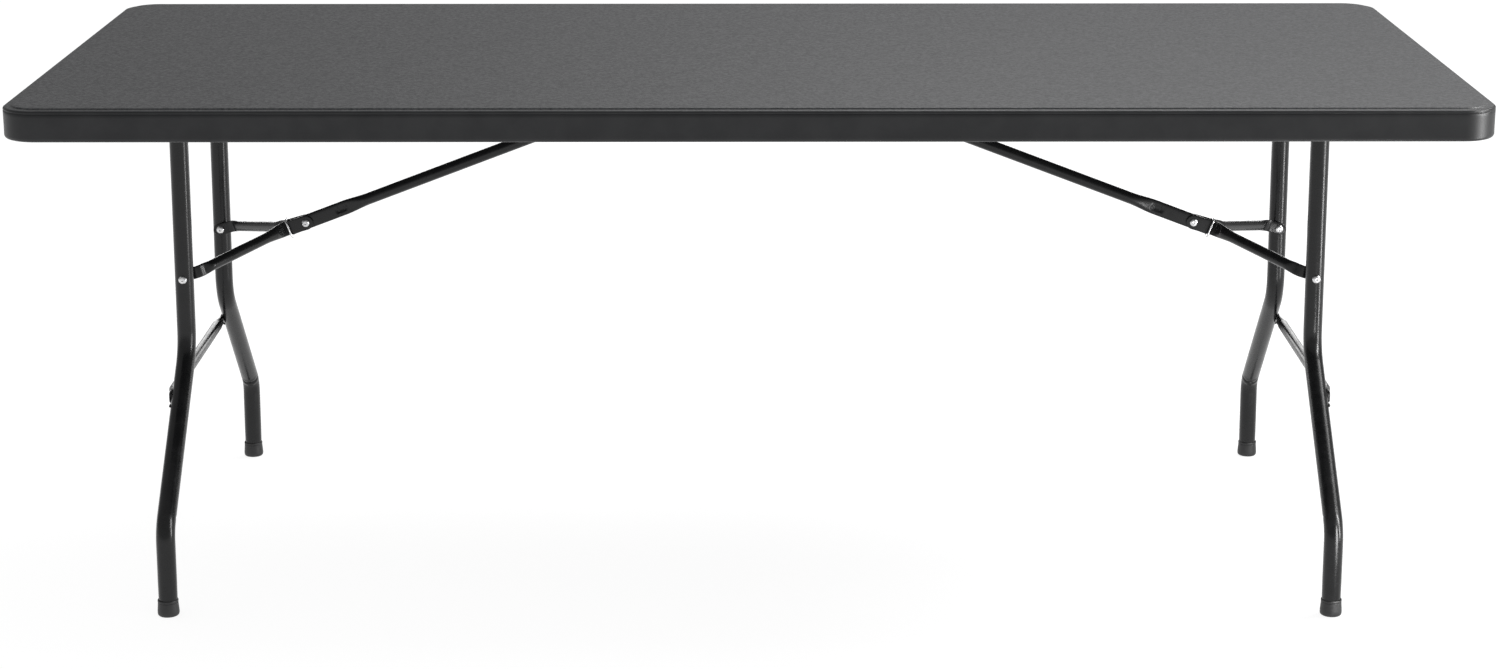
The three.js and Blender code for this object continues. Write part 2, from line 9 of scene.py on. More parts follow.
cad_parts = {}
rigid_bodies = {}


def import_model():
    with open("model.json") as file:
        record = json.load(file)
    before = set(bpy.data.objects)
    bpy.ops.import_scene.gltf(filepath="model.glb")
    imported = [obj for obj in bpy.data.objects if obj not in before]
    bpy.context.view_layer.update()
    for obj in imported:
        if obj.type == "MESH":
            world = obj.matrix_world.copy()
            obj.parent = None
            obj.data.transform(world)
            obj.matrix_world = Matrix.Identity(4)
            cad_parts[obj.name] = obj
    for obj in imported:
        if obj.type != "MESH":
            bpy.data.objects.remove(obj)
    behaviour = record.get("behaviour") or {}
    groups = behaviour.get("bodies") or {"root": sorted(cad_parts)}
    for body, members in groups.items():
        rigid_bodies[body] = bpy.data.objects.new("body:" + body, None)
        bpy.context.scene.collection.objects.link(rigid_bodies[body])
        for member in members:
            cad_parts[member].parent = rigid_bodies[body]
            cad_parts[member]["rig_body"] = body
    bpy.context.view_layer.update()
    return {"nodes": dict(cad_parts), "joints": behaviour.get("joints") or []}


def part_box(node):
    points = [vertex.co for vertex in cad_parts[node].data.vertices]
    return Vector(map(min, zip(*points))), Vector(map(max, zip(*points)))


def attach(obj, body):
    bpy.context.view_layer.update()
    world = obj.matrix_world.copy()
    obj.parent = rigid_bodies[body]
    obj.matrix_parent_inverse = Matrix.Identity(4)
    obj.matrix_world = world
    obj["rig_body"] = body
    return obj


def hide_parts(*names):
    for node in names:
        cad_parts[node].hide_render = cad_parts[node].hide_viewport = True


# A folding banquet table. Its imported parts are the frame: every piece below is a finer body that takes
# its place and size from one part, stands for it, and rides with it. Metres throughout.

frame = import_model()

# ---- places read from the frame

JOINTS = {joint["name"]: joint for joint in frame["joints"]}
PIVOT = Vector(JOINTS["right_leg_fold"]["pos_m"])
PIN = Vector(JOINTS["right_upper_brace_swing"]["pos_m"])
KNUCKLE = Vector(JOINTS["right_lower_brace_swing"]["pos_m"])
LENGTHWAYS = Vector((1, 0, 0))
ACROSS = Vector((0, 1, 0))
UP = Vector((0, 0, 1))


def middle(node):
    low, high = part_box(node)
    return (low + high) / 2


def extent(node):
    low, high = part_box(node)
    return high - low


ARM_RIVET = middle("right_back_arm_rivet")
FOOT = middle("right_back_foot_cap")
CROSSBAR = middle("right_leg_crossbar")
RING = middle("right_lock_ring")
LEAN = math.atan((FOOT.x - PIVOT.x) / PIVOT.z)
DOWN = Vector((math.sin(LEAN), 0, -math.cos(LEAN)))  # along a leg, from its pivot to the floor
OUTWARD = Vector((math.cos(LEAN), 0, math.sin(LEAN)))  # square to a leg frame

TOP_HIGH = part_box("table_top")[1]
RAIL_LOW, RAIL_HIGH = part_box("back_side_rail")
PLATE_LOW, PLATE_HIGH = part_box("centre_bracket")

# ---- driving dimensions

TOP_CORNER = 0.050
PANEL_DEPTH = 0.0155
CORNER_STEPS = 16
COLUMNS = 32  # cells of the underside along the top
ROWS = 13  # and across it
VENTS = [(-0.5, 0.2), (0.5, 0.2)]
VENT_RADIUS = 0.004

LEG_RADIUS = 0.0135
LEG_WALL = 0.0014
LEG_BENDS = (0.070, 0.045)  # the upper bend's radius and the lower one's
UPPER_BEND_Z = 0.333
LOWER_BEND_Z = 0.128
LOWER_FOLD = 0.016  # the pressed fold inside the lower bend is this much higher than the bend's middle
LEG_TOP = 0.005  # the legs' cut ends above the pivot axis
TUBE_END_Z = 0.0046
TUBE_SIDES = 40
PATH_STEP = 0.0012  # between the sections of a bent tube, in and near its bends
GAP = 0.0003  # left between parts that lap each other

PIVOT_RADIUS = 0.009
PIVOT_WALL = 0.0012
BAR_RADIUS = 0.008
BAR_WALL = 0.0012
BAR_OUTWARD = 0.0174  # of its middle line from the legs' own plane
BAR_FLAT_HALF = 0.0019  # the crossbar's pressed ends: half thickness, half height, length and taper
BAR_FLAT_TALL = 0.0088
BAR_FLAT = 0.025
BAR_TAPER = 0.018
BAR_CORNER = 0.004
BAR_POWER = 0.5  # the squareness of its flat ends, as Station says

UPPER_RADIUS = 0.0088
LOWER_RADIUS = 0.008
ARM_SIDES = 36
FLAT_HALF = 0.0035
TALL_HALF = 0.011
PLATE_HALF = 0.0014
LEG_TALL_HALF = 0.009  # half height of the lower arms' ends beside the legs
TONGUE = 0.034
TAIL = 0.011
KNUCKLE_FLAT = 0.062
KNUCKLE_TAPER = 0.040
PIN_FLAT = 0.020
TAPER = 0.018
NARROWING = 0.045  # over which the lower arms lose height past the knuckle
PARALLEL = 0.031
LEG_FLAT = 0.020
SPREAD_BEND = 0.014
UPPER_POWER = 0.55  # the squareness of the pressed arms
LOWER_POWER = 0.45
OVAL = (0.013, 0.0056, 0.0020)  # the pressed oval by the knuckle: half length, half height and depth
OVAL_WAY = 0.004  # of its middle past the start of the flat

WIRE = 0.003
RING_INNER_HEIGHT = 0.025
RING_CORNER = 0.0045

RIVET_HEAD = 0.006
RIVET_HEIGHT = 0.0032
RIVET_SHANK = 0.004

SCREW_HEAD = 0.0024
SCREW_CROWN = 0.0015  # the middle of the recess above the head's lowest point
SCREW_SHANK = 0.0021
SMALL_SIDES = 32  # round screws and rivets

SHEET = 0.0016  # the rails' steel
SHEET_BEND = 0.0018
LIP = 0.006
BUSH_HOLE = 0.0106
BRACKET_SHEET = 0.002
EAR_INNER = 0.0043
EAR_LENGTH = 0.160
EAR_CORNER = 0.009
PLATE_CORNER = 0.008
BUSH_BARREL = 0.0103

WELD_SIDES = 10
WELD_END = 0.35  # how thick a bead is at its very ends, as a share of its full size
WELD_RIPPLE = 0.09
WELD_UNEVEN = 0.05


# ---- materials

def noise(tree, scale, detail=2.0, rough=0.5):
    """A noise pattern in the piece's own metres. scale is its bumps per metre."""
    place = tree.nodes.new("ShaderNodeTexCoord")
    pattern = tree.nodes.new("ShaderNodeTexNoise")
    pattern.inputs["Scale"].default_value = scale
    pattern.inputs["Detail"].default_value = detail
    pattern.inputs["Roughness"].default_value = rough
    tree.links.new(place.outputs["Object"], pattern.inputs["Vector"])
    return pattern.outputs["Fac"]


def pebbles(tree, scale, edge):
    """A pebble grain of raised cells. scale is cells per metre, and edge is the share of the valleys."""
    place = tree.nodes.new("ShaderNodeTexCoord")
    cells = tree.nodes.new("ShaderNodeTexVoronoi")
    cells.feature = "DISTANCE_TO_EDGE"
    cells.inputs["Scale"].default_value = scale
    tree.links.new(place.outputs["Object"], cells.inputs["Vector"])
    return spread(tree, cells.outputs["Distance"], 0.0, edge)


def spread(tree, value, low, high, to_low=0.0, to_high=1.0):
    """value, from low to high, stretched to run from to_low to to_high."""
    node = tree.nodes.new("ShaderNodeMapRange")
    node.interpolation_type = "SMOOTHSTEP"
    for name, number in (("From Min", low), ("From Max", high), ("To Min", to_low), ("To Max", to_high)):
        node.inputs[name].default_value = number
    tree.links.new(value, node.inputs["Value"])
    return node.outputs["Result"]


def between(tree, share, first, second):
    """A colour that goes from first to second as share goes from 0 to 1."""
    ramp = tree.nodes.new("ShaderNodeValToRGB")
    ramp.color_ramp.elements[0].color = (*first, 1)
    ramp.color_ramp.elements[1].color = (*second, 1)
    tree.links.new(share, ramp.inputs["Fac"])
    return ramp.outputs["Color"]


def raised(tree, *layers):
    """A bumped normal. Each layer is a height from 0 to 1, and how many metres 1 stands for."""
    normal = None
    for height, depth in layers:
        node = tree.nodes.new("ShaderNodeBump")
        node.inputs["Distance"].default_value = depth
        tree.links.new(height, node.inputs["Height"])
        if normal is not None:
            tree.links.new(normal, node.inputs["Normal"])
        normal = node.outputs["Normal"]
    return normal


def new_material(name, metallic=0.0, specular=0.5):
    made = bpy.data.materials.new(name)
    made.use_nodes = True
    shader = made.node_tree.nodes["Principled BSDF"]
    shader.inputs["Metallic"].default_value = metallic
    shader.inputs["Specular IOR Level"].default_value = specular
    return made, made.node_tree, shader


def finished(made, shader, colour, roughness, normal):
    made.node_tree.links.new(colour, shader.inputs["Base Color"])
    made.node_tree.links.new(roughness, shader.inputs["Roughness"])
    made.node_tree.links.new(normal, shader.inputs["Normal"])
    return made


def grained_plastic():
    """The upper face: pebble grain over a slightly uneven moulding, its black a little mottled."""
    made, tree, shader = new_material("grained_plastic")
    grain = pebbles(tree, 330.0, 0.34)
    fine = noise(tree, 900.0, 3.0, 0.6)
    waves = noise(tree, 7.0)
    mottle = noise(tree, 210.0, 4.0, 0.7)
    colour = between(tree, spread(tree, mottle, 0.32, 0.68), (0.028, 0.029, 0.031), (0.070, 0.071, 0.074))
    roughness = spread(tree, mottle, 0.3, 0.7, 0.60, 0.46)
    normal = raised(tree, (waves, 0.0006), (grain, 0.00016), (fine, 0.00004))
    return finished(made, shader, colour, roughness, normal)


def smooth_plastic_painted_shade():
    """The rim: the same plastic from a polished part of the mould, with faint flow marks. Its darker colour
    is partly the polished skin and partly painted shade of the upright sides.
    """
    made, tree, shader = new_material("smooth_plastic_painted_shade", specular=0.3)
    flow = noise(tree, 26.0, 3.0)
    fine = noise(tree, 650.0, 3.0, 0.6)
    # painted shade: this colour is kept darker than the grained face's so that it stands in for the shade
    # on the rim's upright sides
    colour = between(tree, spread(tree, flow, 0.3, 0.7), (0.016, 0.0165, 0.018), (0.022, 0.0225, 0.024))
    roughness = spread(tree, fine, 0.3, 0.7, 0.36, 0.47)
    normal = raised(tree, (flow, 0.0003), (fine, 0.000035))
    return finished(made, shader, colour, roughness, normal)


def underside_plastic():
    """The underside: a duller skin with a light orange peel."""
    made, tree, shader = new_material("underside_plastic")
    peel = noise(tree, 300.0, 3.0, 0.6)
    flow = noise(tree, 18.0, 3.0)
    colour = between(tree, spread(tree, flow, 0.3, 0.7), (0.031, 0.032, 0.034), (0.045, 0.046, 0.048))
    roughness = spread(tree, peel, 0.3, 0.7, 0.48, 0.62)
    normal = raised(tree, (flow, 0.0005), (peel, 0.00008))
    return finished(made, shader, colour, roughness, normal)


def powder_coat():
    """Semi-gloss baked powder on steel: orange peel, and faint rubbed patches where it is duller."""
    made, tree, shader = new_material("powder_coat", specular=0.32)
    peel = noise(tree, 520.0, 2.0, 0.45)
    rubbed = noise(tree, 45.0, 5.0, 0.65)
    colour = between(tree, spread(tree, rubbed, 0.3, 0.75), (0.007, 0.0072, 0.0078), (0.012, 0.0122, 0.013))
    roughness = spread(tree, rubbed, 0.3, 0.7, 0.22, 0.31)
    normal = raised(tree, (peel, 0.00003))
    return finished(made, shader, colour, roughness, normal)


def bright_zinc():
    """Zinc plate: bright, with soft cloudy passivation and fine scratches."""
    made, tree, shader = new_material("bright_zinc", metallic=1.0)
    clouds = noise(tree, 160.0, 3.0, 0.6)
    scratches = noise(tree, 1500.0, 4.0, 0.7)
    colour = between(tree, spread(tree, clouds, 0.3, 0.7), (0.58, 0.585, 0.60), (0.76, 0.76, 0.755))
    roughness = spread(tree, clouds, 0.3, 0.7, 0.20, 0.34)
    normal = raised(tree, (scratches, 0.000015))
    return finished(made, shader, colour, roughness, normal)


def moulded_black(name, light):
    """Satin moulded plastic of the foot caps and bushes. light scales how pale it is."""
    made, tree, shader = new_material(name)
    scuffs = noise(tree, 120.0, 4.0, 0.65)
    fine = noise(tree, 1100.0)
    dark = tuple(light * part for part in (0.012, 0.012, 0.013))
    pale = tuple(light * part for part in (0.022, 0.022, 0.023))
    colour = between(tree, spread(tree, scuffs, 0.35, 0.7), dark, pale)
    roughness = spread(tree, scuffs, 0.3, 0.7, 0.42, 0.58)
    normal = raised(tree, (fine, 0.00004))
    return finished(made, shader, colour, roughness, normal)


GRAINED = grained_plastic()
SMOOTH_PAINTED_SHADE = smooth_plastic_painted_shade()
UNDERSIDE = underside_plastic()
COAT = powder_coat()
ZINC = bright_zinc()
FOOT_BLACK = moulded_black("foot_black", 1.0)
BUSH_BLACK = moulded_black("bush_black", 1.3)


# ---- surfaces

class Surface:
    """The points and faces of one piece, gathered ring by ring. kind is a face's material number."""

    def __init__(self):
        self.points = []
        self.faces = []
        self.kinds = []

    def ring(self, points):
        first = len(self.points)
        self.points.extend(points)
        return list(range(first, len(self.points)))

    def face(self, corners, kind=0):
        self.faces.append(list(corners))
        self.kinds.append(kind)

    def bridge(self, one, two, kind=0):
        for index, corner in enumerate(one):
            after = (index + 1) % len(one)
            self.face((corner, one[after], two[after], two[index]), kind)

    def skin(self, rings, kind=0, closed=False):
        for one, two in zip(rings, rings[1:] + rings[:1] if closed else rings[1:]):
            self.bridge(one, two, kind)

    def solid(self, rings):
        self.skin(rings)
        self.face(rings[0])
        self.face(rings[-1])

    def fan(self, ring, point):
        tip = self.ring([point])[0]
        for index, corner in enumerate(ring):
            self.face((corner, ring[(index + 1) % len(ring)], tip))


def mesh_of(name, surface, turn, crease):
    mesh = bpy.data.meshes.new(name)
    mesh.from_pydata([tuple(turn @ Vector(point)) for point in surface.points], [], surface.faces)
    mesh.polygons.foreach_set("material_index", surface.kinds)
    work = bmesh.new()
    work.from_mesh(mesh)
    bmesh.ops.recalc_face_normals(work, faces=work.faces)
    work.to_mesh(mesh)
    work.free()
    shade(mesh, crease)
    return mesh


def shade(mesh, crease):
    mesh.shade_smooth()
    mesh.set_sharp_from_angle(angle=math.radians(crease))


def new_object(name, data):
    made = bpy.data.objects.new(name, data)
    bpy.context.scene.collection.objects.link(made)
    return made


def piece(node, surface, materials, turn=Matrix.Identity(4), crease=38, holes=()):
    """The fine body that stands for a CAD node. holes are bores through it, as (centre, way, radius)."""
    mesh = mesh_of(f"{node}_fine", surface, turn, crease)
    made = new_object(f"{node}_fine", mesh)
    for material in materials:
        mesh.materials.append(material)
    if holes:
        bore(made, holes, turn, crease)
    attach(made, frame["nodes"][node]["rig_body"])
    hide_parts(node)
    return made


def bore(made, holes, turn, crease):
    """Cuts round holes through a piece and keeps the result as its mesh."""
    cutters = []
    reach = 0.03  # of a cutter to either side of its centre
    for centre, way, radius in holes:
        surface = Surface()
        profile = [(0, -reach), (radius, -reach), (radius, reach), (0, reach)]
        turned(surface, profile, basis(centre, way), TUBE_SIDES)
        cutter = new_object("cutter", mesh_of("cutter", surface, turn, crease))
        cut = made.modifiers.new("hole", "BOOLEAN")
        cut.operation = "DIFFERENCE"
        cut.solver = "EXACT"
        cut.object = cutter
        cutters.append(cutter)
    bpy.context.view_layer.update()
    done = made.evaluated_get(bpy.context.evaluated_depsgraph_get())
    rough = made.data
    made.data = bpy.data.meshes.new_from_object(done)
    made.modifiers.clear()
    bpy.data.meshes.remove(rough)
    shade(made.data, crease)
    for cutter in cutters:
        bpy.data.objects.remove(cutter)


def placed(origin, own_x, own_y, own_z):
    place = Matrix((own_x, own_y, own_z)).transposed().to_4x4()
    place.translation = origin
    return place


def basis(origin, axis, side=None):
    """A place whose own Z runs along axis, and whose own X lies towards side."""
    axis = Vector(axis).normalized()
    if side is None:
        side = UP if abs(axis.z) < 0.9 else LENGTHWAYS
    first = (side - axis * side.dot(axis)).normalized()
    return placed(origin, first, axis.cross(first), axis)


def circle(radius, height, sides, shift=0.0, start=0.0):
    """Points round Z at a height. shift is a part of one step, and start an angle, to turn them by."""
    angles = (math.tau * (index + shift) / sides + start for index in range(sides))
    return [Vector((radius * math.cos(angle), radius * math.sin(angle), height)) for angle in angles]


def turned(surface, profile, place, sides, closed=False):
    """A body of revolution about place's own Z from (radius, height) pairs."""
    rings = []
    for radius, height in profile:
        if radius == 0:
            rings.append(place @ Vector((0, 0, height)))
        else:
            rings.append(surface.ring([place @ point for point in circle(radius, height, sides)]))
    for one, two in zip(rings, rings[1:] + rings[:1] if closed else rings[1:]):
        if isinstance(one, Vector):
            surface.fan(two, one)
        elif isinstance(two, Vector):
            surface.fan(one, two)
        else:
            surface.bridge(one, two)


def press(value, power):
    return math.copysign(abs(value) ** power, value)


def smooth(share):
    share = min(1.0, max(0.0, share))
    return share * share * (3 - 2 * share)


def mix(first, second, share):
    return first + (second - first) * share


class Station:
    """One section of a swept bar: its centre, its two directions, half sizes and squareness. along is the
    way gone from the start, for a dent. power is 1 for an oval, and nearer 0 for flat faces."""

    def __init__(self, point, tangent, up, along, half, tall, power=1.0):
        self.point = point
        self.up = up
        self.across = up.cross(tangent).normalized()
        self.along = along
        self.half = half
        self.tall = tall
        self.power = power


def section(station, sides, inset=0.0, dent=None):
    points = []
    for index in range(sides):
        angle = math.tau * (index + 0.5) / sides
        sideways = press(math.cos(angle), station.power)
        upwards = press(math.sin(angle), station.power)
        radial = station.across * ((station.half - inset) * sideways)
        radial += station.up * ((station.tall - inset) * upwards)
        if dent is not None:
            radial += dent(station, radial)
        points.append(station.point + radial)
    return points


def solid_bar(surface, stations, sides, dent=None):
    surface.solid([surface.ring(section(station, sides, 0.0, dent)) for station in stations])


def open_tube(surface, stations, wall, sides, dent=None, edge=0.0003):
    """A tube with its wall showing at both ends, the ends' edges eased by edge."""
    outer = [section(station, sides, 0.0, dent) for station in stations]
    inner = [section(station, sides, wall, dent) for station in stations]
    outer[0] = section(stations[0], sides, edge, dent)
    outer[-1] = section(stations[-1], sides, edge, dent)
    surface.skin([surface.ring(points) for points in outer + inner[::-1]], closed=True)


def bent_path(corners, radii, step, stretch):
    """Points on straight runs joined by arcs, as (point, tangent, along), and the bends, as (along at the
    middle, way to the inside). The points lie close together for stretch to either side of a bend."""
    runs, bends, along = [], [], 0.0
    here = corners[0]
    for index, radius in zip(range(1, len(corners) - 1), radii):
        before = (corners[index] - corners[index - 1]).normalized()
        after = (corners[index + 1] - corners[index]).normalized()
        angle = before.angle(after)
        inward = (after - before * before.dot(after)).normalized()
        start = corners[index] - before * (radius * math.tan(angle / 2))
        length = (start - here).length
        for way in close_steps(length, stretch if bends else 0.0, stretch, step):
            runs.append((here + before * way, before, along + way))
        along += length
        centre = start + inward * radius
        count = max(4, round(radius * angle / step))
        for part in range(count + 1):
            turn = angle * part / count
            tangent = before * math.cos(turn) + inward * math.sin(turn)
            point = centre + before * (radius * math.sin(turn)) - inward * (radius * math.cos(turn))
            runs.append((point, tangent, along + radius * turn))
        facing = -before * math.sin(angle / 2) + inward * math.cos(angle / 2)
        bends.append((along + radius * angle / 2, facing))
        along += radius * angle
        here = runs[-1][0]
    after = (corners[-1] - here).normalized()
    length = (corners[-1] - here).length
    for way in close_steps(length, stretch, 0.0, step)[1:] + [length]:
        runs.append((here + after * way, after, along + way))
    return runs, bends


def close_steps(length, near_start, near_end, step):
    """Ways along a straight run, not counting its end: close together near a bend and sparse between."""
    ways = [0.0]
    way = step
    while way < near_start:
        ways.append(way)
        way += step
    plain = ways[-1]
    last = length - near_end
    gaps = max(1, round((last - plain) / 0.05))
    ways.extend(mix(plain, last, part / gaps) for part in range(1, gaps + 1))
    way = last + step
    while way < length - step / 2:
        ways.append(way)
        way += step
    return [way for way in ways if way < length - 1e-6]


def weld(surface, points, radius, seed):
    """A weld bead along points: a rippled round bar that thins out at both ends."""
    chance = random.Random(seed)
    stations = []
    for index, point in enumerate(points):
        before = points[max(index - 1, 0)]
        after = points[min(index + 1, len(points) - 1)]
        tangent = (after - before).normalized()
        side = UP if abs(tangent.z) < 0.8 else ACROSS
        up = (side - tangent * side.dot(tangent)).normalized()
        share = index / (len(points) - 1)
        size = radius * mix(WELD_END, 1.0, min(1.0, 6 * share, 6 * (1 - share)))
        ripple = WELD_RIPPLE * math.sin(2.1 * index)
        size *= 1 + ripple + chance.uniform(-WELD_UNEVEN, WELD_UNEVEN)
        stations.append(Station(point, tangent, up, 0, size, size))
    solid_bar(surface, stations, WELD_SIDES)


# ---- the moulded top

HALF_LENGTH = TOP_HIGH.x - TOP_CORNER  # to the corners' centres
HALF_WIDTH = TOP_HIGH.y - TOP_CORNER
FLOOR_OF_TRAY = TOP_HIGH.z - PANEL_DEPTH

# From the upper face outwards and down, as (inset from the outline, depth below the upper face).
GRAINED_EDGE = [(0.0170, 0.0), (0.0130, 0.0)]
STEP = [
    (0.0122, 0.00015), (0.0117, 0.0005), (0.0114, 0.0010),
    (0.0113, 0.0017), (0.0110, 0.0020), (0.0104, 0.0021),
]
LEDGE = [
    (0.0060, 0.0022), (0.0030, 0.0023), (0.0016, 0.0027),
    (0.0008, 0.0034), (0.0004, 0.0043), (0.0002, 0.0052),
]
PARTING_LINE = [(0.0003, 0.0056), (0.0010, 0.0060), (0.0011, 0.0068), (0.0004, 0.0073), (0.0002, 0.0076)]
SKIRT = [(0.0002, 0.0120), (0.0002, 0.0250), (0.0001, 0.0370), (0.0000, 0.0390)]
RIM_FOOT = [
    (0.0000, 0.0402), (0.0003, 0.0417), (0.0011, 0.0432),
    (0.0024, 0.0443), (0.0041, 0.0449), (0.0060, 0.0450),
]
RIM_INSIDE = [(0.0170, 0.0450), (0.0190, 0.0447), (0.0206, 0.0438), (0.0216, 0.0423), (0.0220, 0.0405)]
TRAY_WALL = [(0.0224, 0.0210), (0.0228, 0.0184), (0.0239, 0.0166), (0.0258, 0.0157), (0.0280, PANEL_DEPTH)]

# A pressed dimple of the underside, as (radius, height above the underside).
DIMPLE = [
    (0.0145, 0.0), (0.0132, 0.0004), (0.0120, 0.0018),
    (0.0098, 0.0085), (0.0086, 0.0102), (0.0064, 0.0110),
]
DIMPLE_SIDES = 20
VENT = [(VENT_RADIUS + 0.0006, 0.0), (VENT_RADIUS, 0.0005), (VENT_RADIUS, 0.0060)]

# The signs of an outline's corners, in the order in which it goes round.
CORNER_X = (1, -1, -1, 1)
CORNER_Y = (1, 1, -1, -1)


def column(index):
    return mix(-HALF_LENGTH, HALF_LENGTH, index / COLUMNS)


def row(index):
    return mix(-HALF_WIDTH, HALF_WIDTH, index / ROWS)


def rim_ring(inset, depth):
    """Points round the top: the grid's columns and rows along the sides, and arcs at the corners."""
    reach = TOP_CORNER - inset
    height = TOP_HIGH.z - depth
    points = []
    for quarter in range(4):
        centre = Vector((HALF_LENGTH * CORNER_X[quarter], HALF_WIDTH * CORNER_Y[quarter], height))
        for step in range(CORNER_STEPS + 1):
            angle = math.pi / 2 * (quarter + step / CORNER_STEPS)
            points.append(centre + Vector((reach * math.cos(angle), reach * math.sin(angle), 0)))
        side = Vector(((0, -reach, 0, reach)[quarter], (reach, 0, -reach, 0)[quarter], height))
        points.extend(Vector((column(x), row(y), 0)) + side for x, y in side_grid(quarter))
    return points


def side_grid(quarter):
    """Grid places strictly between the corner that ends a quarter and the next one."""
    return (
        [(x, ROWS) for x in range(COLUMNS - 1, 0, -1)],
        [(0, y) for y in range(ROWS - 1, 0, -1)],
        [(x, 0) for x in range(1, COLUMNS)],
        [(COLUMNS, y) for y in range(1, ROWS)],
    )[quarter]


def ring_grid():
    """For each point of a rim ring, the grid place that it faces."""
    corners = [(COLUMNS, ROWS), (0, ROWS), (0, 0), (COLUMNS, 0)]
    places = []
    for quarter in range(4):
        places.extend([corners[quarter]] * (CORNER_STEPS + 1))
        places.extend(side_grid(quarter))
    return places


def grid_points(surface, height):
    places = [(x, y) for x in range(COLUMNS + 1) for y in range(ROWS + 1)]
    ring = surface.ring([Vector((column(x), row(y), height)) for x, y in places])
    return dict(zip(places, ring))


def cell(grid, x, y):
    """The four corners of a grid's cell."""
    return [grid[place] for place in ((x, y), (x + 1, y), (x + 1, y + 1), (x, y + 1))]


def vents_in(x, y):
    """The vents whose middles lie in a cell."""
    in_row = [vent for vent in VENTS if row(y) < vent[1] < row(y + 1)]
    return [vent for vent in in_row if column(x) < vent[0] < column(x + 1)]


def join_grid(surface, ring, grid, kind):
    """Fills the strip between a rim ring and the border of a grid."""
    facing = [grid[place] for place in ring_grid()]
    for index, corner in enumerate(ring):
        after = (index + 1) % len(ring)
        corners = [corner, ring[after], facing[after]]
        if facing[after] != facing[index]:
            corners.append(facing[index])
        surface.face(corners, kind)


def pressed_cell(surface, corners, centre, profile, kind):
    """One cell of the underside with a round pocket pressed up into it."""
    rings = []
    for radius, height in profile:
        points = circle(radius, height, DIMPLE_SIDES, 0.5, -math.pi * 0.75)
        rings.append(surface.ring([centre + point for point in points]))
    surface.skin(rings, kind)
    surface.face(rings[-1], kind)
    quarter = DIMPLE_SIDES // 4
    for index in range(DIMPLE_SIDES):
        after = (index + 1) % DIMPLE_SIDES
        nearest = ((index + quarter // 2) // quarter) % 4
        following = ((after + quarter // 2) // quarter) % 4
        surface.face((rings[0][index], rings[0][after], corners[following]), kind)
        if following != nearest:
            surface.face((rings[0][index], corners[following], corners[nearest]), kind)


def underside(surface, grid, kind):
    """A dimple in every cell but those with a vent and the flat ones above the centre bracket."""
    for x in range(COLUMNS):
        for y in range(ROWS):
            corners = cell(grid, x, y)
            vents = vents_in(x, y)
            if vents:
                pressed_cell(surface, corners, Vector((*vents[0], FLOOR_OF_TRAY)), VENT, kind)
            elif y == ROWS // 2 and min(abs(column(x)), abs(column(x + 1))) < PLATE_HIGH.x:
                surface.face(corners, kind)
            else:
                centre = Vector((column(x + 0.5), row(y + 0.5), FLOOR_OF_TRAY))
                pressed_cell(surface, corners, centre, DIMPLE, kind)


def table_top():
    surface = Surface()
    grained, plain, below = 0, 1, 2
    bands = [
        (GRAINED_EDGE + STEP + LEDGE[:2], grained),
        (LEDGE[2:] + PARTING_LINE + SKIRT + RIM_FOOT + RIM_INSIDE, plain),
        (TRAY_WALL, below),
    ]
    rings = [(surface.ring(rim_ring(*place)), kind) for profile, kind in bands for place in profile]
    for (one, _), (two, kind) in zip(rings, rings[1:]):
        surface.bridge(one, two, kind)
    face = grid_points(surface, TOP_HIGH.z)
    join_grid(surface, rings[0][0], face, grained)
    for x in range(COLUMNS):
        for y in range(ROWS):
            surface.face(cell(face, x, y), grained)
    tray = grid_points(surface, FLOOR_OF_TRAY)
    join_grid(surface, rings[-1][0], tray, below)
    underside(surface, tray, below)
    piece("table_top", surface, [GRAINED, SMOOTH_PAINTED_SHADE, UNDERSIDE], crease=50)


# ---- steel under the top

def folded_section(corners, radius, half):
    """The outline of folded sheet: both sides of a line with round bends, as a closed loop."""
    runs, _ = bent_path(corners, (radius, radius), radius / 3, 0.0)
    left, right = [], []
    for point, tangent, _ in runs:
        normal = Vector((0, -tangent.z, tangent.y))
        left.append(point + normal * half)
        right.append(point - normal * half)
    return left + right[::-1]


def side_rail(node, side):
    """A rolled J section along X, its bends round."""
    half = SHEET / 2
    web = RAIL_LOW.y + half
    lip_end = RAIL_LOW.y + LIP
    corners = [
        Vector((0, lip_end, RAIL_LOW.z + half)),
        Vector((0, web, RAIL_LOW.z + half)),
        Vector((0, web, RAIL_HIGH.z - half)),
        Vector((0, RAIL_HIGH.y, RAIL_HIGH.z - half)),
    ]
    outline = folded_section(corners, SHEET_BEND, half)
    surface = Surface()
    rings = []
    for x in (RAIL_LOW.x, RAIL_HIGH.x):
        rings.append(surface.ring([Vector((x, side * point.y, point.z)) for point in outline]))
    surface.solid(rings)
    holes = [(Vector((end * PIVOT.x, side * web, PIVOT.z)), ACROSS, BUSH_HOLE) for end in (-1, 1)]
    piece(node, surface, [COAT], holes=holes)


def rounded_loop(half_length, half_width, radius, steps=6):
    points = []
    for quarter in range(4):
        x = (half_length - radius) * CORNER_X[quarter]
        y = (half_width - radius) * CORNER_Y[quarter]
        for step in range(steps + 1):
            angle = math.pi / 2 * (quarter + step / steps)
            points.append((x + radius * math.cos(angle), y + radius * math.sin(angle)))
    return points


def eased_slab(surface, half_length, half_width, radius, thickness, place, edge=0.0003):
    """A flat plate with round corners and eased edges, its middle plane at place."""
    half = thickness / 2
    rings = []
    for inset, height in ((edge, -half), (0, edge - half), (0, half - edge), (edge, half)):
        loop = rounded_loop(half_length - inset, half_width - inset, radius - inset)
        rings.append(surface.ring([place @ Vector((x, y, height)) for x, y in loop]))
    surface.solid(rings)


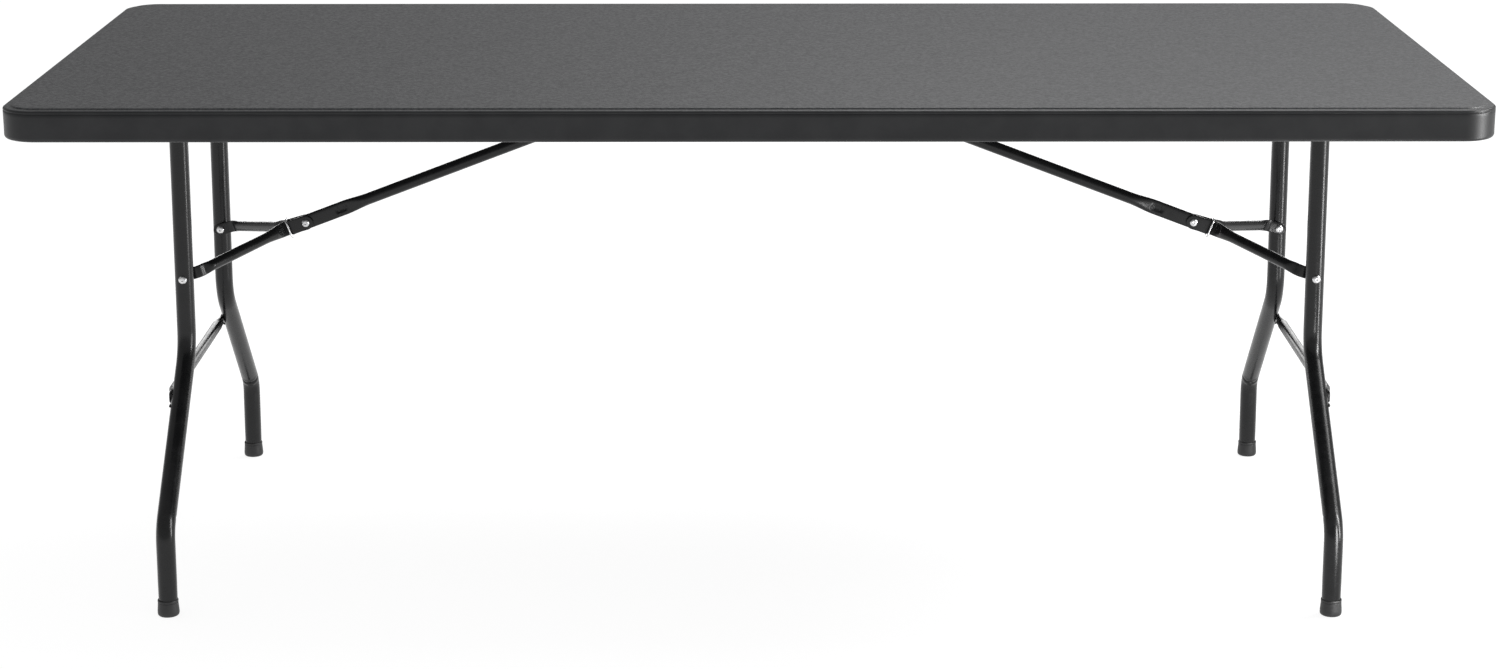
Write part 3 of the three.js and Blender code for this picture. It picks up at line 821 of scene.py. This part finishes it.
def centre_bracket():
    """A plate with two ears for the brace pins, each ear welded on along both sides."""
    steps, bead_share, bead_out = 40, 0.45, 0.0002
    surface = Surface()
    half = BRACKET_SHEET / 2
    centre = Vector((0, 0, PLATE_HIGH.z - half))
    eased_slab(surface, PLATE_HIGH.x, PLATE_HIGH.y, PLATE_CORNER, BRACKET_SHEET, Matrix.Translation(centre))
    ear_half = (centre.z - PLATE_LOW.z) / 2
    for side in (-1, 1):
        middle_of_ear = Vector((0, side * (EAR_INNER + half), PLATE_LOW.z + ear_half))
        place = basis(middle_of_ear, ACROSS, LENGTHWAYS)
        eased_slab(surface, EAR_LENGTH / 2, ear_half, EAR_CORNER, BRACKET_SHEET, place)
        for edge in (-1, 1):
            y = side * EAR_INNER + edge * bead_out
            if edge == side:
                y += side * BRACKET_SHEET
            places = [step / steps * EAR_LENGTH * bead_share for step in range(-steps, steps + 1)]
            bead = [Vector((x, y, centre.z - half)) for x in places]
            weld(surface, bead, 0.0012, 11 + edge + 4 * side)
    piece("centre_bracket", surface, [COAT])


# A screw's head from the edge of its recess outwards, as (share of the radius, share of the head's height).
SCREW_DOME = [(0.25, 0.0), (0.5, 0.04), (0.7, 0.13), (0.85, 0.28), (0.95, 0.5), (1.0, 0.8), (1.0, 1.0)]


def cross_recess(x, y):
    """How deep the cross is pressed into a screw's head at a place."""
    cross = 1 - smooth((min(abs(x), abs(y)) - 0.0004) / 0.0004)
    reach = 1 - smooth((max(abs(x), abs(y)) - 0.0022) / 0.0008)
    return 0.0013 * cross * reach


def screw(node):
    """A pan-head screw with a cross recess, its head hanging below what it holds."""
    low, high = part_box(node)
    centre = (low + high) / 2
    radius = (high.x - low.x) / 2
    levels = [(radius * share, low.z + SCREW_HEAD * fall, 1) for share, fall in SCREW_DOME]
    levels += [(SCREW_SHANK, low.z + SCREW_HEAD, 0), (SCREW_SHANK, high.z, 0)]
    surface = Surface()
    rings = []
    for reach, height, pressed in levels:
        points = []
        for x, y, _ in circle(reach, 0, SMALL_SIDES):
            points.append(Vector((centre.x + x, centre.y + y, height + pressed * cross_recess(x, y))))
        rings.append(surface.ring(points))
    surface.fan(rings[0], Vector((centre.x, centre.y, low.z + SCREW_CROWN)))
    surface.skin(rings)
    surface.face(rings[-1])
    piece(node, surface, [ZINC])


def pivot_bush(prefix, name, side, turn):
    """A flanged bush: its flange lies against the rail's inner face, and its barrel passes through."""
    low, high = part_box("right_back_pivot_bush")
    radius = (high.x - low.x) / 2
    length = high.y - low.y
    inner = PIVOT_RADIUS + 0.0002
    profile = [
        (inner, 0.0004), (inner + 0.0004, 0.0),
        (radius - 0.0005, 0.0), (radius, 0.0005), (radius, 0.0015), (radius - 0.0003, 0.0020),
        (BUSH_BARREL, 0.0020), (BUSH_BARREL, length - 0.0005), (BUSH_BARREL - 0.0005, length),
        (inner, length),
    ]
    place = basis(Vector((PIVOT.x, side * low.y, PIVOT.z)), ACROSS * side)
    surface = Surface()
    turned(surface, profile, place, TUBE_SIDES, closed=True)
    piece(f"{prefix}_{name}_pivot_bush", surface, [BUSH_BLACK], turn)


# ---- a leg frame

def leg_point(y, height):
    """A point of the leaning leg frame at a distance y from its middle and a height above the floor."""
    return PIVOT + DOWN * ((PIVOT.z - height) / math.cos(LEAN)) + ACROSS * y


LEG_LOW, LEG_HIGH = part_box("right_back_leg")
UPPER_Y = LEG_LOW.y + LEG_RADIUS
LOWER_Y = LEG_HIGH.y - LEG_RADIUS


def fold_inside(bends):
    """How a leg's wall is pushed: a little flatter at each bend, and inside the lower bend a sharp V with
    wings up the sides and a swell above and below it."""
    flattening, flat_length = 0.0006, 0.018
    fold_depth, fold_length, wing_rise = 0.0026, 0.0019, 0.004
    swell, swell_way, swell_length = 0.0011, 0.0062, 0.0034
    lower, lower_inside = bends[1]
    fold_at = lower - LOWER_FOLD

    def dent(station, radial):
        out = radial.normalized()
        push = 0.0
        for middle_of_bend, inside in bends:
            way = station.along - middle_of_bend
            push -= flattening * math.exp(-(way / flat_length) ** 2) * abs(out.dot(inside))
        facing = max(0.0, out.dot(lower_inside))
        way = station.along - fold_at + wing_rise * (1 - facing)
        push -= fold_depth * math.exp(-(way / fold_length) ** 2) * facing ** 0.6
        push += swell * math.exp(-((abs(way) - swell_way) / swell_length) ** 2) * facing ** 1.5
        return out * push
    return dent


def pivot_welds(surface, y):
    """The beads where a leg's saddle end meets the pivot tube, one on each side of the leg."""
    half_angle, steps, proud = math.radians(118), 16, 1.03
    for face in (-1, 1):
        points = []
        for step in range(-steps, steps + 1):
            angle = half_angle * step / steps
            out = PIVOT_RADIUS * math.sin(angle)
            fall = PIVOT_RADIUS * math.cos(angle)
            reach = math.sqrt(LEG_RADIUS ** 2 - out ** 2)
            points.append(PIVOT + OUTWARD * out * proud + DOWN * fall * proud + ACROSS * (y + face * reach))
        weld(surface, points, 0.0017, 31 + face + round(y * 1000))


def bar_welds(surface, side):
    """The beads along the upper and lower edges of the crossbar's flat end, where it laps a leg."""
    slope = (LOWER_Y - UPPER_Y) / (UPPER_BEND_Z - LOWER_BEND_Z)
    across_leg = 1 / math.hypot(1, slope)
    steps, step_length, above_edge, above_leg = 8, 0.0011, 0.0004, 0.0006
    for edge in (-1, 1):
        height = CROSSBAR.z + edge * (BAR_FLAT_TALL + above_edge)
        middle_y = UPPER_Y + (UPPER_BEND_Z - height) * slope
        points = []
        for step in range(-steps, steps + 1):
            way = step * step_length
            out = math.sqrt(LEG_RADIUS ** 2 - (way * across_leg) ** 2) + above_leg
            points.append(leg_point(side * (middle_y + way), height) + OUTWARD * out)
        weld(surface, points, 0.0019, 51 + edge + 3 * side)


def crossbar(prefix, turn):
    """A tube from leg to leg. Its ends are pressed flat and lap the outer sides of the legs."""
    half_length = extent("right_leg_crossbar").y / 2
    flat_out = LEG_RADIUS + GAP + BAR_FLAT_HALF
    between_legs = CROSSBAR - OUTWARD * (CROSSBAR - PIVOT).dot(OUTWARD)
    flat_start = half_length - BAR_FLAT
    ways = [flat_start - BAR_TAPER * (1 - step / 14) for step in range(15)]
    ways += [half_length - BAR_CORNER * math.cos(math.pi / 2 * step / 8) for step in range(8)]
    ways += [half_length]
    stations = []
    for y in [-way for way in ways[::-1]] + ways:
        flat = smooth((abs(y) - flat_start + BAR_TAPER) / BAR_TAPER)
        past_corner = max(0.0, 1 - (half_length - abs(y)) / BAR_CORNER)
        rounded = BAR_CORNER * (1 - math.sqrt(1 - past_corner ** 2))
        half = mix(BAR_RADIUS, BAR_FLAT_HALF, flat)
        tall = mix(BAR_RADIUS, BAR_FLAT_TALL, flat) - rounded
        centre = between_legs + OUTWARD * mix(BAR_OUTWARD, flat_out, flat) + ACROSS * y
        stations.append(Station(centre, ACROSS, -DOWN, y, half, tall, mix(1.0, BAR_POWER, flat)))
    surface = Surface()
    open_tube(surface, stations, BAR_WALL, TUBE_SIDES)
    piece(f"{prefix}_leg_crossbar", surface, [COAT], turn)


def leg(prefix, name, side, turn):
    """A tube bent twice, saddled on to the pivot tube, with its weld beads as a piece of their own."""
    corners = [
        PIVOT - DOWN * LEG_TOP + ACROSS * (side * UPPER_Y),
        leg_point(side * UPPER_Y, UPPER_BEND_Z),
        leg_point(side * LOWER_Y, LOWER_BEND_Z),
        leg_point(side * LOWER_Y, TUBE_END_Z),
    ]
    runs, bends = bent_path(corners, LEG_BENDS, PATH_STEP, 0.014)
    stations = []
    for point, tangent, along in runs:
        stations.append(Station(point, tangent, OUTWARD, along, LEG_RADIUS, LEG_RADIUS))
    surface = Surface()
    open_tube(surface, stations, LEG_WALL, TUBE_SIDES, fold_inside(bends))
    saddle = [(PIVOT + ACROSS * (side * UPPER_Y), ACROSS, PIVOT_RADIUS + 0.0001)]
    node = f"{prefix}_{name}_leg"
    made = piece(node, surface, [COAT], turn, holes=saddle)
    beads = Surface()
    pivot_welds(beads, side * UPPER_Y)
    bar_welds(beads, side)
    add_welds(made, f"{node}_welds", beads, turn)


def add_welds(parent, name, surface, turn):
    """The beads on a piece, as an object of their own that rides with it."""
    mesh = mesh_of(name, surface, turn, 60)
    mesh.materials.append(COAT)
    made = new_object(name, mesh)
    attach(made, parent["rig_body"])


def foot_cap(prefix, name, side, turn):
    """A moulded cup that flares to its sole, with a bead round its mouth and a recess in its sole."""
    low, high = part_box("right_back_foot_cap")
    radius = (high.y - low.y) / 2
    height = high.z
    profile = [
        (0, 0.0008), (0.0070, 0.0008), (0.0076, 0.0), (0.0118, 0.0), (0.0136, 0.0005), (0.0149, 0.0018),
        (radius, 0.0042), (radius - 0.0001, 0.0080), (0.0150, 0.0130), (0.0146, 0.0178), (0.0145, 0.0196),
        (0.0141, 0.0200), (0.0141, 0.0205), (0.0146, 0.0209), (0.0147, 0.0218), (0.0146, height - 0.0006),
        (0.0142, height), (0.0138, height - 0.0002), (0.01365, height - 0.0010),
        (0.01365, 0.0042), (0, 0.0042),
    ]
    surface = Surface()
    turned(surface, profile, Matrix.Translation((FOOT.x, side * FOOT.y, 0)), TUBE_SIDES)
    piece(f"{prefix}_{name}_foot_cap", surface, [FOOT_BLACK], turn)


def straight_tube(node, centre, half_length, radius, wall, turn):
    inside = half_length - 0.0004  # where the eased edges start
    stations = []
    for y in (-half_length, -inside, inside, half_length):
        stations.append(Station(centre + ACROSS * y, ACROSS, UP, y, radius, radius))
    surface = Surface()
    open_tube(surface, stations, wall, TUBE_SIDES)
    piece(node, surface, [COAT], turn)


def rivet_head(tip, end):
    """A head's outline from its hollow crown over its dome to the shank. tip is its furthest place, and
    end, 1 or -1, is the way that it faces."""
    seat = tip - end * RIVET_HEIGHT
    outline = [(0, tip - end * 0.0013), (0.0013, tip - end * 0.0012), (0.0017, tip - end * 0.0004)]
    for step in range(2, 10):
        angle = math.pi / 2 * step / 10
        height = 0.0006 + 0.0026 * math.cos(angle)
        outline.append((0.0054 * math.sin(angle) + 0.0004, seat + end * height))
    outline.extend([(RIVET_HEAD, seat + end * 0.0006), (RIVET_HEAD, seat + end * 0.0001)])
    outline.extend([(RIVET_HEAD - 0.0002, seat), (RIVET_SHANK, seat)])
    return outline


def rivet(node, source, side, heads, turn):
    """A rivet along Y. heads holds the ends that have a head: -1, 1 or both."""
    low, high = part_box(source)
    if side < 0:
        low, high = Vector((low.x, -high.y, low.z)), Vector((high.x, -low.y, high.z))
    centre = (low + high) / 2
    profile = []
    for end, tip in ((-1, low.y), (1, high.y)):
        half = rivet_head(tip, end) if end in heads else [(0, tip), (RIVET_SHANK, tip)]
        profile.extend(half if end < 0 else half[::-1])
    surface = Surface()
    turned(surface, profile, basis(Vector((centre.x, 0, centre.z)), ACROSS), SMALL_SIDES)
    piece(node, surface, [ZINC], turn, crease=50)


def leg_frame(prefix, names, turn):
    tube = extent("right_pivot_tube")
    straight_tube(f"{prefix}_pivot_tube", PIVOT, tube.y / 2, PIVOT_RADIUS, PIVOT_WALL, turn)
    crossbar(prefix, turn)
    for side in (-1, 1):
        leg(prefix, names[side], side, turn)
        foot_cap(prefix, names[side], side, turn)
        rivet(f"{prefix}_{names[side]}_leg_rivet", "right_back_leg_rivet", side, (side,), turn)
        pivot_bush(prefix, names[side], side, turn)


# ---- a brace

def arm_place(origin, towards):
    """The place of an arm: its own X along the arm, Y across the table and Z up."""
    along = Vector((towards.x - origin.x, 0, towards.z - origin.z)).normalized()
    return placed(Vector((origin.x, 0, origin.z)), along, ACROSS, along.cross(ACROSS))


def round_end(way, radius):
    """The share of its full height that a round-ended plate has at a way in from its end, never quite 0."""
    if way >= radius:
        return 1.0
    return max(0.12, math.sqrt(max(0.0, 1 - (1 - way / radius) ** 2)))


def end_ways(radius, count=9):
    return [radius * (1 - math.cos(math.pi / 2 * step / count)) for step in range(count + 1)]


def oval_dimple(centre, half_length, half_height, depth):
    """A pressed oval on both faces of a bar that runs along its own X."""
    def dent(station, radial):
        share = ((station.along - centre) / half_length) ** 2 + (radial.z / half_height) ** 2
        if share >= 1:
            return Vector((0, 0, 0))
        return Vector((0, -math.copysign(depth * smooth((1 - share) * 1.6), radial.y), 0))
    return dent


def upper_arm(prefix, turn):
    """A tube pressed flat at its pin and along its knuckle end, with a pressed oval there."""
    place = arm_place(PIN, KNUCKLE)
    length = (KNUCKLE - PIN).length
    start, end = -TALL_HALF, length + TONGUE
    flat_from = length - KNUCKLE_FLAT
    ways = [start + way for way in end_ways(TALL_HALF)]
    ways += [PIN_FLAT + TAPER * step / 12 for step in range(13)]
    ways += [mix(PIN_FLAT + TAPER, flat_from - KNUCKLE_TAPER, step / 10) for step in range(1, 10)]
    ways += [flat_from - KNUCKLE_TAPER * (1 - step / 20) for step in range(21)]
    ways += [flat_from + 0.001 * step for step in range(1, 30)]
    ways += [end - way for way in end_ways(TALL_HALF)[::-1]]
    stations = []
    for way in ways:
        at_knuckle = smooth((way - flat_from + KNUCKLE_TAPER) / KNUCKLE_TAPER)
        flat = max(1 - smooth((way - PIN_FLAT) / TAPER), at_knuckle)
        ends = min(round_end(way - start, TALL_HALF), round_end(end - way, TALL_HALF))
        tall = mix(UPPER_RADIUS, TALL_HALF, flat) * ends
        half = mix(UPPER_RADIUS, FLAT_HALF, flat)
        power = mix(1.0, UPPER_POWER, flat)
        stations.append(Station(LENGTHWAYS * way, LENGTHWAYS, UP, way, half, tall, power))
    surface = Surface()
    solid_bar(surface, stations, ARM_SIDES, oval_dimple(flat_from + OVAL_WAY, *OVAL))
    piece(f"{prefix}_upper_arm", surface, [COAT], turn @ place)


def lower_arm(prefix, name, side, turn):
    """One arm of the fork: beside its twin at the knuckle, then out, then flat along the leg."""
    place = arm_place(KNUCKLE, ARM_RIVET)
    length = math.hypot(ARM_RIVET.x - KNUCKLE.x, ARM_RIVET.z - KNUCKLE.z)
    near = FLAT_HALF + GAP + PLATE_HALF
    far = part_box("right_back_lower_arm")[1].y - PLATE_HALF
    end = length + TAIL
    corners = [
        Vector((-TAIL, side * near, 0)),
        Vector((PARALLEL, side * near, 0)),
        Vector((length - LEG_FLAT, side * far, 0)),
        Vector((end, side * far, 0)),
    ]
    runs, bends = bent_path(corners, (SPREAD_BEND, SPREAD_BEND), PATH_STEP, 0.010)
    total = runs[-1][2]
    runs = with_end_points(runs, total)
    first, last = bends[0][0], bends[1][0]
    half_bend = SPREAD_BEND * 0.5
    stations = []
    for point, tangent, along in runs:
        round_here = smooth((along - first - half_bend) / TAPER)
        round_here *= smooth((last - half_bend - along) / TAPER)
        near_knuckle = mix(TALL_HALF, LOWER_RADIUS, smooth((along - first) / NARROWING))
        near_leg = mix(LEG_TALL_HALF, LOWER_RADIUS, round_here)
        ends = min(round_end(along, TALL_HALF), round_end(total - along, LEG_TALL_HALF))
        half = mix(PLATE_HALF, LOWER_RADIUS, round_here)
        tall = (near_knuckle if along < total / 2 else near_leg) * ends
        power = mix(LOWER_POWER, 1.0, round_here)
        stations.append(Station(point, tangent, UP, along, half, tall, power))
    surface = Surface()
    solid_bar(surface, stations, ARM_SIDES)
    piece(f"{prefix}_{name}_lower_arm", surface, [COAT], turn @ place)


def with_end_points(runs, total):
    """The path with close points added over its round ends, and along the stretch where it swells."""
    step, too_close, straight = 0.0025, 0.0004, 0.99999
    wanted = end_ways(TALL_HALF) + [total - way for way in end_ways(TALL_HALF)]
    wanted += [step * count for count in range(1, int(total / step))]
    known = [along for _, _, along in runs]
    made = list(runs)
    for way in wanted:
        if min(abs(way - along) for along in known) < too_close:
            continue
        after = next(index for index, along in enumerate(known) if along > way)
        (point, tangent, along), (next_point, next_tangent, next_along) = runs[after - 1], runs[after]
        if tangent.dot(next_tangent) < straight:
            continue
        share = (way - along) / (next_along - along)
        made.append((point.lerp(next_point, share), tangent.lerp(next_tangent, share).normalized(), way))
    return sorted(made, key=lambda item: item[2])


def lock_ring(prefix, turn):
    """A closed link of round wire about the arms, square to them."""
    place = arm_place(PIN, KNUCKLE)
    place.translation = RING
    inner_width = extent("right_lock_ring").y - 2 * WIRE
    half = WIRE / 2
    loop = rounded_loop(inner_width / 2 + half, RING_INNER_HEIGHT / 2 + half, RING_CORNER + half, 10)
    surface = Surface()
    rings = []
    for index, (y, z) in enumerate(loop):
        before, after = loop[index - 1], loop[(index + 1) % len(loop)]
        tangent = Vector((0, after[0] - before[0], after[1] - before[1])).normalized()
        station = Station(Vector((0, y, z)), tangent, LENGTHWAYS, 0, half, half)
        rings.append(surface.ring(section(station, 20)))
    surface.skin(rings, closed=True)
    piece(f"{prefix}_lock_ring", surface, [ZINC], turn @ place)


def brace(prefix, names, turn):
    upper_arm(prefix, turn)
    lock_ring(prefix, turn)
    rivet(f"{prefix}_knuckle_rivet", "right_knuckle_rivet", 1, (-1, 1), turn)
    rivet(f"{prefix}_brace_pin", "right_brace_pin", 1, (-1, 1), turn)
    for side in (-1, 1):
        lower_arm(prefix, names[side], side, turn)
        rivet(f"{prefix}_{names[side]}_arm_rivet", "right_back_arm_rivet", side, (-side,), turn)


# ---- the whole table

table_top()
side_rail("front_side_rail", -1)
side_rail("back_side_rail", 1)
centre_bracket()
for number in range(1, 15):
    screw(f"top_screw_{number}")
ENDS = (
    ("right", {-1: "front", 1: "back"}, Matrix.Identity(4)),
    ("left", {-1: "back", 1: "front"}, Matrix.Rotation(math.pi, 4, "Z")),
)
for end_name, side_names, half_turn in ENDS:
    leg_frame(end_name, side_names, half_turn)
    brace(end_name, side_names, half_turn)


# ---- camera, floor and light

def camera():
    """At standing eye height in front of the long side, looking a little down."""
    pitch, yaw, roll = math.radians(15.33), math.radians(-0.093), math.radians(-0.059)
    forward = Vector((math.sin(yaw) * math.cos(pitch), math.cos(yaw) * math.cos(pitch), -math.sin(pitch)))
    level = forward.cross(UP).normalized()
    right = level * math.cos(roll) + level.cross(forward) * math.sin(roll)
    eye = Vector((0.0076, -4.3652, 1.5067))
    data = bpy.data.cameras.new("camera")
    data.sensor_width = 36
    data.lens = 71.66
    data.clip_end = 200
    made = new_object("camera", data)
    made.matrix_world = placed(eye, right, right.cross(forward), -forward)
    bpy.context.scene.camera = made


def studio_floor():
    """A wide white floor just below the feet, which shines a little so that it reads as the backdrop."""
    half = 30
    corners = [(-half, -half, 0), (half, -half, 0), (half, half, 0), (-half, half, 0)]
    mesh = bpy.data.meshes.new("studio_floor")
    mesh.from_pydata(corners, [], [(0, 1, 2, 3)])
    floor = new_object("studio_floor", mesh)
    floor.location.z = -0.0002
    made, _, shader = new_material("studio_white")
    shader.inputs["Base Color"].default_value = (0.30, 0.30, 0.30, 1)
    shader.inputs["Roughness"].default_value = 0.9
    shader.inputs["Specular IOR Level"].default_value = 0.0
    shader.inputs["Emission Color"].default_value = (1, 1, 1, 1)
    shader.inputs["Emission Strength"].default_value = 0.89
    mesh.materials.append(made)


def area_light(name, place, target, width, height, power, only_glossy=False):
    data = bpy.data.lights.new(name, "AREA")
    data.shape = "RECTANGLE"
    data.size = width
    data.size_y = height
    data.energy = power
    made = new_object(name, data)
    made.location = place
    made.rotation_euler = (Vector(target) - Vector(place)).to_track_quat("-Z", "Y").to_euler()
    made.visible_camera = False
    made.visible_diffuse = not only_glossy


def studio_light():
    world = bpy.data.worlds.new("studio_world")
    bpy.context.scene.world = world
    world.use_nodes = True
    back = world.node_tree.nodes["Background"]
    back.inputs["Color"].default_value = (1, 1, 1, 1)
    back.inputs["Strength"].default_value = 0.42
    area_light("key_right", (3.2, 0.6, 3.2), (0.3, 0, 0.7), 2.0, 1.6, 95)
    area_light("key_back", (1.0, 2.0, 3.6), (0.3, 0, 0.7), 2.4, 1.4, 50)
    area_light("strip_near", (0.95, -0.60, 0.14), (0.0, -0.36, 0.14), 0.10, 0.24, 2.2, only_glossy=True)
    area_light("strip_low", (1.95, -0.80, 0.26), (0.0, -0.36, 0.26), 0.20, 0.48, 10, only_glossy=True)
    area_light("strip_high", (1.95, -0.80, 1.13), (0.0, -0.36, 1.13), 0.16, 1.00, 35, only_glossy=True)
    area_light("panel_behind", (0.0, 1.15, 0.52), (0.0, 0.0, 0.40), 2.6, 0.30, 8, only_glossy=True)
    bpy.context.scene.view_settings.view_transform = "Standard"


camera()
studio_floor()
studio_light()
